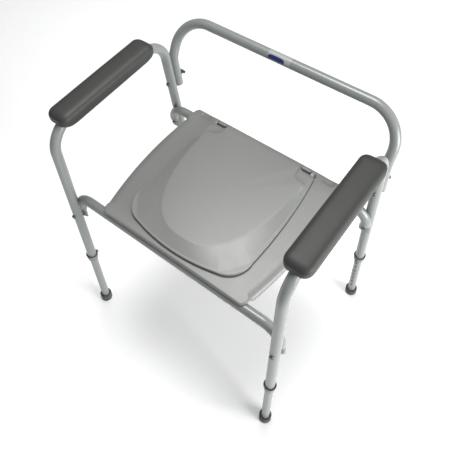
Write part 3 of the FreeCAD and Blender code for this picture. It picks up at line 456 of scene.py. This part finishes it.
def seat_shell():
    """A closed ring surface. A profile goes up the opening's wall, out over the top, round the outer
    edge, down the skirt and back along the underside, at each point of the seat's plan. The skirt is
    deep along the sides and shrinks to the plate's thickness over the two crossbars."""
    outer = seat_loop()
    normal = inward_normals(outer)
    spread = (outer - OPENING) / FAN_HALF
    angle = np.arctan2(spread[:, 1], spread[:, 0])
    hole = OPENING + OPENING_HALF * np.stack([np.cos(angle), np.sin(angle)], -1)
    away = outer - hole
    away /= np.linalg.norm(away, axis=1)[:, None]
    y = outer[:, 1]
    front_bar, rear_bar = CROSSBAR_Y
    along_side = ease((y - front_bar - BAR_ROOM) / SKIRT_FADE) * ease((rear_bar - BAR_ROOM - y) / SKIRT_FADE)
    along_side = along_side * ease((np.abs(outer[:, 0]) - SKIRT_FROM_X) / SKIRT_FADE)
    under = SEAT_TOP - SEAT_PLATE
    bottom = under + (SEAT_SKIRT_Z - under) * along_side
    roll_w = ROLL_WIDE[0] + ROLL_WIDE[1] * along_side
    fall = seat_crown(outer[:, 0])
    roll_h = SEAT_PLATE - fall - FOOT_IN + ROLL_DEEP * along_side
    rows = []

    def row(plan, z):
        """Adds a ring of points: their places in plan, and one height or a height for each."""
        rows.append(np.column_stack([plan, np.broadcast_to(z, len(plan))]))

    row(hole, under + FOOT_IN)
    for a in np.linspace(0, math.pi / 2, 6):
        row(hole + away * (RIM_R * (1 - math.cos(a))), SEAT_TOP - SEAT_DISH - RIM_R * (1 - math.sin(a)))
    start = hole + away * RIM_R
    end = outer + normal * roll_w[:, None]
    for v in np.linspace(0, 1, 46)[1:-1]:
        plan = start + (end - start) * v
        dish = SEAT_DISH * (1 - float(ease(v * SEAT_DISH_EASE)))
        row(plan, SEAT_TOP - dish - seat_crown(plan[:, 0]) * float(ease(v * 3)) - seat_pocket(plan))
    for a in np.linspace(0, math.pi / 2, 12):
        plan = outer + normal * (roll_w * (1 - math.sin(a)))[:, None]
        lost = seat_crown(plan[:, 0]) + seat_pocket(plan) * math.cos(a)
        row(plan, SEAT_TOP - lost - roll_h * (1 - math.cos(a)))
    near, lip = LIP
    row(outer, bottom + lip)
    row(outer + normal * near, bottom + near)
    row(outer + normal * lip, bottom)
    row(outer + normal * (SKIRT_WALL - lip), bottom)
    row(outer + normal * (SKIRT_WALL - near), bottom + near * along_side)
    row(outer + normal * SKIRT_WALL, bottom + lip * along_side)
    inner_h = np.maximum(under - SEAT_TOP + fall + roll_h + HOLLOW, HOLLOW_LEAST) * along_side
    for a in np.linspace(math.pi / 2, 0, 8):
        reach = SKIRT_WALL + roll_w * ROLL_INSIDE * (1 - math.sin(a))
        row(outer + normal * reach[:, None], under - inner_h * (1 - math.cos(a)))
    inner_end = outer + normal * (SKIRT_WALL + roll_w * ROLL_INSIDE)[:, None]
    hole_foot = hole + away * FOOT_IN
    for v in np.linspace(0, 1, 14)[1:]:
        row(inner_end + (hole_foot - inner_end) * v, under)
    points = np.concatenate(rows)
    faces = quad_faces(len(rows), LOOP, True, True)
    piece = outward(make_piece("seat_shell", points, faces, seat_moulding, "seat"))
    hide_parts("seat")


def capped_sweep(name, rings, material, body):
    """A closed piece from rings of equal count: quads join them, and a fan closes each end."""
    count = len(rings[0])
    poles = np.array([rings[0].mean(0), rings[-1].mean(0)])
    points = np.concatenate(list(rings) + [poles])
    faces = quad_faces(len(rings), count, False, True)
    faces += fan_faces(0, count, len(rings) * count, True)
    faces += fan_faces((len(rings) - 1) * count, count, len(rings) * count + 1, False)
    return outward(make_piece(name, points, faces, material, body))


def rib_profile():
    """A rib's section as (across, down) pairs: sides that lean in by RIB_DRAFT, and a rounded foot."""
    w = RIB_HALF_WIDE
    foot = w - RIB_DRAFT
    return np.array([(w, -RIB_ROOT), (foot, RIB_DEPTH - RIB_EASE), (foot - RIB_EASE, RIB_DEPTH),
                     (RIB_EASE - foot, RIB_DEPTH), (-foot, RIB_DEPTH - RIB_EASE), (-w, -RIB_ROOT)])


def seat_ribs():
    """Stiffening ribs below the seat: an oval ring outside the opening, the section turned round it on
    an ellipse, and straight ribs from the ring to both skirts, the section moved along X."""
    under = SEAT_TOP - SEAT_PLATE
    section = rib_profile()
    t = np.linspace(0, math.tau, RING_STEPS, endpoint=False)
    rows = []
    for across, down in section:
        half = OPENING_HALF + RING_OFFSET + across
        rows.append(np.column_stack([half[0] * np.cos(t), OPENING[1] + half[1] * np.sin(t),
                                     np.full(len(t), under - down)]))
    faces = quad_faces(len(rows), len(t), True, True)
    outward(make_piece("seat_rib_ring", np.concatenate(rows), faces, seat_moulding, "seat"))
    ring_half = OPENING_HALF + RING_OFFSET
    for number, y in enumerate(RIB_Y, 1):
        ring_x = ring_half[0] * math.sqrt(1 - ((y - OPENING[1]) / ring_half[1]) ** 2)
        skirt_x = float(seat_half_width(y)) - SKIRT_WALL
        for side_name, side in SIDES:
            rings = [np.column_stack([np.full(len(section), side * x), y + section[:, 0],
                                      under - section[:, 1]]) for x in (ring_x, skirt_x)]
            capped_sweep(f"seat_rib_{side_name}_{number}", rings, seat_moulding, "seat")


# --- lid ------------------------------------------------------------------------------------------

lid_low, lid_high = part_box("lid")
LID_BASE = lid_low.z + 0.0005
LID_FLAT = LID_BASE + 0.0068
LID_TOP = lid_high.z + 0.0014
LID_REAR = lid_high.y
LID_WALL = 0.004
LID_CROWN = 0.0016
LID_EDGE_R = 0.0026
LID_LOOP = 480
LID_RIM_LEAST = 0.0065
LID_HOLLOW_IN = 0.012
LID_BREAK = 0.0003  # the small drop where the crown turns into the slope
CROWN_SHARE = 0.985  # how far the crown's rings reach to the raised middle's edge
MIDDLE_SMOOTH = 1.6
MIDDLE_REACH = 6
LID_SIDE = ((0.1600, 0.1655), (0.1745, 0.02), (0.1725, -0.11))
LID_CORNER = ((0.1725, -0.11), (0.159, -0.157), (0.118, -0.180))
LID_FRONT_X, LID_FRONT_Y = LID_CORNER[-1]
LUG_X = 0.132
LUG_HALF = 0.0142
LUG_FRONT = 0.1684
LUG_SIDE_X = 0.1555
PLATEAU_HALF_X = 0.151
PLATEAU_WIDEST_Y = 0.134
PLATEAU_LENGTH = 0.292
PLATEAU_POWER = 0.8
PLATEAU_SHOULDER = ((0.146, 0.1315), (0.1498, 0.1295), (0.151, 0.126))
PLATEAU_REAR = ((0.1128, LID_REAR - 0.0088), (0.114, LID_REAR - 0.012))
PLATEAU_REAR_EDGE = 0.0075
NOTCH_X = 0.114
NOTCH_Y = 0.132
NOTCH_R = 0.021
NOTCH_SLOPE = 0.006
NOTCH_FROM = (0.112, 0.100)
NOTCH_FADE = (0.006, 0.02)
SLOPE_MOST = 0.060
KNUCKLE_R = 0.0053
KNUCKLE_END = 0.1560
KNUCKLE_DROP = 0.0005
KNUCKLE_NOSE = 0.010
KNUCKLE_NOSE_POWER = 0.6
KNUCKLE_SQUEEZE = 0.45
KNUCKLE_STEPS = 48
KNUCKLE_RINGS = (0, 0.04, 0.12, 0.3, 0.5, 0.7, 0.88, 0.96, 1.0)  # shares of the length
KNUCKLE_PULL = (0.86, 0.95, 1, 1, 1, 1, 0.98, 0.9, 0.78)  # shares of the profile's size


def lid_loop():
    """The lid's plan: bowed sides, a wide shallow front, rounded rear corners cut back at the hinges."""
    inner = LUG_X - LUG_HALF
    half = np.vstack([
        np.stack([np.linspace(0.001, inner - 0.001, 24), np.full(24, LID_REAR)], -1),
        np.linspace((inner, LID_REAR - 0.001), (inner + 0.0006, LUG_FRONT + 0.001), 6),
        np.linspace((inner + 0.002, LUG_FRONT), (LUG_SIDE_X, LUG_FRONT), 10),
        arc_through(*LID_SIDE, 50),
        arc_through(*LID_CORNER, 20)[1:],
        arc_through(LID_CORNER[-1], (0.0, lid_low.y), (-LID_FRONT_X, LID_FRONT_Y), 41)[1:21],
    ])
    return even_loop(mirrored_loop(half), LID_LOOP, 1.2)


def plateau_radius(angle):
    """How far the raised middle reaches at each angle round the lid's centre: an egg of exponent 2.5
    that is widest near the hinges, less a low corner round each hinge, by polar table look-up."""
    t = np.linspace(0, math.pi / 2, 60)
    x = PLATEAU_HALF_X * np.cos(t) ** PLATEAU_POWER
    y = PLATEAU_WIDEST_Y - PLATEAU_LENGTH * np.sin(t) ** PLATEAU_POWER
    middle = 0.3 * NOTCH_R
    corner = arc_through((NOTCH_X + NOTCH_R, NOTCH_Y), (NOTCH_X + middle, NOTCH_Y + middle),
                         (NOTCH_X, NOTCH_Y + NOTCH_R), 8)
    rear = LID_REAR - PLATEAU_REAR_EDGE
    half = np.vstack([
        np.linspace((0.0, rear), (0.110, rear), 20),
        PLATEAU_REAR,
        corner[::-1],
        PLATEAU_SHOULDER,
        np.stack([x, y], -1)[2:],
    ])
    table = np.arctan2(half[:, 0], half[:, 1])
    reach = np.hypot(half[:, 0], half[:, 1])
    around = np.abs(np.arctan2(np.sin(angle), np.cos(angle)))
    return np.interp(around, table, reach)


def lid_cover():
    """A closed shell over rings of one centre. The top is a low crown to the raised middle's edge, a
    slope from there to the flat rim, and a rounded edge. From below, a straight wall goes up to a
    second crown that lies LID_WALL under the first."""
    loop = lid_loop()
    angle = np.arctan2(loop[:, 0], loop[:, 1])
    reach = np.hypot(loop[:, 0], loop[:, 1])
    middle = np.minimum(plateau_radius(angle), reach - LID_RIM_LEAST)
    shift = np.arange(-MIDDLE_REACH, MIDDLE_REACH + 1)
    weight = np.exp(-0.5 * (shift / MIDDLE_SMOOTH) ** 2)
    weight /= weight.sum()
    middle = sum(w * np.roll(middle, k) for w, k in zip(weight, shift.tolist()))
    unit = loop / reach[:, None]
    band = reach - middle
    in_notch = (ease((loop[:, 1] - NOTCH_FROM[1]) / NOTCH_FADE[1])
                * ease((np.abs(loop[:, 0]) - NOTCH_FROM[0]) / NOTCH_FADE[0]))
    slope_w = np.minimum(band - 0.005, SLOPE_MOST) * (1 - in_notch) + NOTCH_SLOPE * in_notch
    rows = []

    def row(radius, z):
        """Adds a ring of points at a radius for each angle, and one height or a height for each."""
        rows.append(np.column_stack([unit * radius[:, None], np.broadcast_to(z, len(unit))]))

    for v in np.linspace(0, 1, 26)[1:-1]:
        row(middle * v * CROWN_SHARE, LID_TOP + LID_CROWN * (1 - v * v))
    drop = LID_TOP - LID_FLAT
    row(middle * 0.99, LID_TOP - 0.00002)
    row(middle - 0.0008, LID_TOP - 0.0001)
    row(middle, LID_TOP - LID_BREAK)
    for v in np.linspace(0, 1, 14)[1:]:
        steep = ease(v) * in_notch + v * (1 - in_notch)
        row(middle + slope_w * v, LID_TOP - LID_BREAK - (drop - LID_BREAK) * steep)
    outer = reach - LID_EDGE_R
    for v in (0.35, 0.7, 1.0):
        row(middle + slope_w + (outer - middle - slope_w) * v, LID_FLAT)
    for a in np.linspace(0, math.pi, 9)[1:]:
        z = (LID_FLAT + LID_BASE) / 2 + (LID_FLAT - LID_BASE) / 2 * math.cos(a)
        row(outer + LID_EDGE_R * math.sin(a), z)
    inner = np.minimum(middle - LID_WALL, reach - LID_HOLLOW_IN)
    row(inner + 0.001, LID_BASE)
    row(inner, LID_BASE + 0.001)
    row(inner - 0.0005, LID_TOP - LID_WALL - 0.001)
    for v in np.linspace(1, 0, 16)[1:-1]:
        row(inner * v * CROWN_SHARE, LID_TOP - LID_WALL + LID_CROWN * (1 - v * v))
    count = len(rows)
    poles = np.array([[0, 0, LID_TOP + LID_CROWN], [0, 0, LID_TOP - LID_WALL + LID_CROWN]])
    points = np.concatenate(rows + [poles])
    faces = quad_faces(count, LID_LOOP, False, True)
    faces += fan_faces(0, LID_LOOP, count * LID_LOOP, True)
    faces += fan_faces((count - 1) * LID_LOOP, LID_LOOP, count * LID_LOOP + 1, False)
    piece = outward(make_piece("lid_cover", points, faces, seat_moulding, "lid"))
    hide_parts("lid")


def hinge_knuckles():
    """Rounded bars on the lid's hinge line outside each lug: a profile like a teardrop, swept along X,
    with both ends drawn in to round them."""
    pins_low, pins_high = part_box("hinge_pins")
    axis_y = (pins_low.y + pins_high.y) / 2
    axis_z = (pins_low.z + pins_high.z) / 2
    t = np.linspace(0, math.tau, KNUCKLE_STEPS, endpoint=False)
    ahead = np.clip(-np.cos(t), 0, 1)
    ring_y = axis_y + KNUCKLE_R * np.cos(t) - KNUCKLE_NOSE * ahead ** KNUCKLE_NOSE_POWER
    ring_z = axis_z - KNUCKLE_DROP + KNUCKLE_R * np.sin(t) * (1 - KNUCKLE_SQUEEZE * ahead ** 2)
    centre_y = ring_y.mean()
    centre_z = ring_z.mean()
    for side_name, side in SIDES:
        start = side * (LUG_X + LUG_HALF)
        end = side * KNUCKLE_END
        rings = [np.column_stack([np.full(KNUCKLE_STEPS, start + (end - start) * v),
                                  centre_y + (ring_y - centre_y) * p, centre_z + (ring_z - centre_z) * p])
                 for v, p in zip(KNUCKLE_RINGS, KNUCKLE_PULL)]
        capped_sweep("lid_hinge_knuckle_" + side_name, rings, seat_moulding, "lid")


# --- arm pads -------------------------------------------------------------------------------------

BEND_R = 0.075
BEND_START = (-0.1298, 0.1041)
ARM_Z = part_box("arm_pad_left")[0].z + 0.010
PAD_END_R = 0.0165
PAD_END_DROP = 0.013
PAD_END_LENGTH = 0.022
PAD_TIP_LENGTH = 0.040
PAD_TIP_RISE = 0.0125
PAD_SAG = 0.0006
PAD_SAG_AT = 0.15
PAD_SQUARENESS = 3.6
PAD_LIP = 0.0012
PAD_OUTSIDE = 64
PAD_INSIDE = 24
CHANNEL_R = 0.0129


def arm_centre(y):
    """Height of the arm tube's centre line at y, and the cosine of its steepness: level between the
    bends, and a circle of radius BEND_R past the start of each."""
    front, rear = BEND_START
    past = np.maximum(np.maximum(front - y, y - rear), 0)
    level = np.sqrt(BEND_R ** 2 - past ** 2)
    return ARM_Z - (BEND_R - level), level / BEND_R


def arm_rest(side_name):
    """A horseshoe profile swept along Y. Outside, it is a rounded oblong: |x/w|^n + |z/h|^n = 1. Inside,
    it is the arch that fits the tube. Width and height draw in at both ends on quarter circles."""
    low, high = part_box("arm_pad_" + side_name)
    centre_x = (low.x + high.x) / 2
    front = low.y
    rear = high.y
    half_w = (high.x - low.x) / 2
    ends = PAD_END_LENGTH * (1 - np.cos(np.linspace(0, math.pi / 2, 14)))
    y = np.concatenate([front + ends, np.linspace(front + PAD_END_LENGTH, rear - PAD_END_LENGTH, 50)[1:-1],
                        (rear - ends)[::-1]])
    inside = np.minimum(y - front, rear - y)
    from_end = np.clip(inside / PAD_END_LENGTH, 0, 1)
    pull = 1 - np.sqrt(np.clip(1 - (1 - from_end) ** 2, 0, 1))
    width = half_w - PAD_END_R * pull
    top = high.z - PAD_END_DROP * pull - PAD_SAG * np.abs(y - (front + rear) / 2) / PAD_SAG_AT
    bottom = low.z + PAD_TIP_RISE * (1 - np.clip(inside / PAD_TIP_LENGTH, 0, 1)) ** 2
    tube_z, level = arm_centre(y)
    arch = CHANNEL_R / level
    n = PAD_SQUARENESS
    s = np.linspace(0, 1, PAD_INSIDE)
    rows = []
    for k in range(len(y)):
        middle_z = (top[k] + bottom[k]) / 2
        half_h = (top[k] - bottom[k]) / 2
        foot = math.acos(min(0.999, (CHANNEL_R + PAD_LIP) / width[k]) ** (n / 2))
        t = np.linspace(-foot, math.pi + foot, PAD_OUTSIDE)
        x_out = width[k] * np.sign(np.cos(t)) * np.abs(np.cos(t)) ** (2 / n)
        z_out = middle_z + half_h * np.sign(np.sin(t)) * np.abs(np.sin(t)) ** (2 / n)
        lip = z_out[0]
        peak = max(tube_z[k] + arch[k], lip + 0.0003)
        z_in = lip + (peak - lip) * np.sin(math.pi * s)
        rise = np.clip((z_in - tube_z[k]) / arch[k], 0, 1)
        across = np.maximum(np.sqrt(1 - rise ** 2), np.abs(np.cos(math.pi * s)))
        x_in = -np.sign(0.5 - s) * CHANNEL_R * across
        x_all = np.concatenate([x_out, x_in]) + centre_x
        z_all = np.concatenate([z_out, z_in])
        rows.append(np.column_stack([x_all, np.full(len(x_all), y[k]), z_all]))
    faces = quad_faces(len(rows), PAD_OUTSIDE + PAD_INSIDE, False, True)
    faces += horseshoe_ends(len(rows))
    piece = outward(make_piece("arm_rest_" + side_name, np.concatenate(rows), faces, pad_moulding, "frame"))
    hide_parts("arm_pad_" + side_name)


def horseshoe_ends(rows):
    """Faces that close both end rows, in a strip between the outer profile and the inner arch."""
    total = PAD_OUTSIDE + PAD_INSIDE
    outer_at = np.round(np.linspace(0, PAD_OUTSIDE - 1, PAD_INSIDE)).astype(int)
    inner_at = total - 1 - np.arange(PAD_INSIDE)
    faces = []
    for row, flip in ((0, False), (rows - 1, True)):
        base = row * total
        for a in range(PAD_INSIDE - 1):
            span = list(range(outer_at[a], outer_at[a + 1] + 1))
            face = [base + i for i in span] + [base + inner_at[a + 1], base + inner_at[a]]
            faces.append(face if flip else face[::-1])
    return faces


seat_shell()
seat_ribs()
lid_cover()
hinge_knuckles()
for side_name, _ in SIDES:
    arm_rest(side_name)


# --- stage, light and camera ----------------------------------------------------------------------

KEY_PLACE = (3.2, 0.15, 1.1)
KEY_TARGET = (0, 0, 0.45)
KEY_SIZE = 2.0
KEY_POWER = 74
KEY_SPREAD = math.radians(120)
TOP_PLACE = (-0.3, 0.5, 3.2)
TOP_TARGET = (0, 0, 0.4)
TOP_SIZE = 1.2
TOP_POWER = 74
FLOOR_HALF = 30.0
FLOOR_WHITE = (0.93, 0.93, 0.93, 1)
FLOOR_GLOW = 0.12
SKY_WHITE = (0.98, 0.99, 1.0, 1)
SKY_STRENGTH = 0.27
CAMERA_PLACE = (0.5266, -0.5789, 1.6756)
CAMERA_TURN = (35.726, 2.971, 37.25)
CAMERA_LENS = 44.87
CAMERA_SHIFT_Y = -0.10


def make_stage():
    """A plain pale floor, a broad soft light low on the right, a smaller one above, and a pale sky."""
    material = bpy.data.materials.new("pale_floor")
    material.use_nodes = True
    shader = material.node_tree.nodes["Principled BSDF"]
    shader.inputs["Base Color"].default_value = FLOOR_WHITE
    shader.inputs["Roughness"].default_value = 0.9
    shader.inputs["Specular IOR Level"].default_value = 0.1
    shader.inputs["Emission Color"].default_value = (1, 1, 1, 1)
    shader.inputs["Emission Strength"].default_value = FLOOR_GLOW
    half = FLOOR_HALF
    mesh = bpy.data.meshes.new("floor")
    mesh.from_pydata([(-half, -half, 0), (half, -half, 0), (half, half, 0), (-half, half, 0)], [],
                     [(0, 1, 2, 3)])
    mesh.materials.append(material)
    floor = bpy.data.objects.new("floor", mesh)
    bpy.context.scene.collection.objects.link(floor)
    world = bpy.data.worlds.new("pale_sky")
    world.use_nodes = True
    sky = world.node_tree.nodes["Background"]
    sky.inputs["Color"].default_value = SKY_WHITE
    sky.inputs["Strength"].default_value = SKY_STRENGTH
    bpy.context.scene.world = world
    soft_light("key_light", KEY_PLACE, KEY_TARGET, KEY_SIZE, KEY_POWER, KEY_SPREAD)
    soft_light("top_light", TOP_PLACE, TOP_TARGET, TOP_SIZE, TOP_POWER, math.pi)


def soft_light(name, place, target, size, power, spread):
    """A square lamp turned to a target; a narrow spread fades its light out towards its sides."""
    lamp = bpy.data.lights.new(name, "AREA")
    lamp.shape = "SQUARE"
    lamp.size = size
    lamp.energy = power
    lamp.spread = spread
    light = bpy.data.objects.new(name, lamp)
    bpy.context.scene.collection.objects.link(light)
    toward = np.array(target, float) - np.array(place, float)
    flat = math.hypot(toward[0], toward[1])
    light.visible_camera = False
    light.location = place
    light.rotation_euler = (math.atan2(flat, -toward[2]), 0, math.atan2(-toward[0], toward[1]))


def make_camera():
    """A camera that looks down on the chair from the front right corner."""
    data = bpy.data.cameras.new("camera")
    data.sensor_width = 36.0
    data.lens = CAMERA_LENS
    data.shift_y = CAMERA_SHIFT_Y
    camera = bpy.data.objects.new("camera", data)
    bpy.context.scene.collection.objects.link(camera)
    camera.location = CAMERA_PLACE
    camera.rotation_euler = tuple(math.radians(a) for a in CAMERA_TURN)
    bpy.context.scene.camera = camera
    bpy.context.scene.view_settings.view_transform = "Standard"


make_stage()
make_camera()
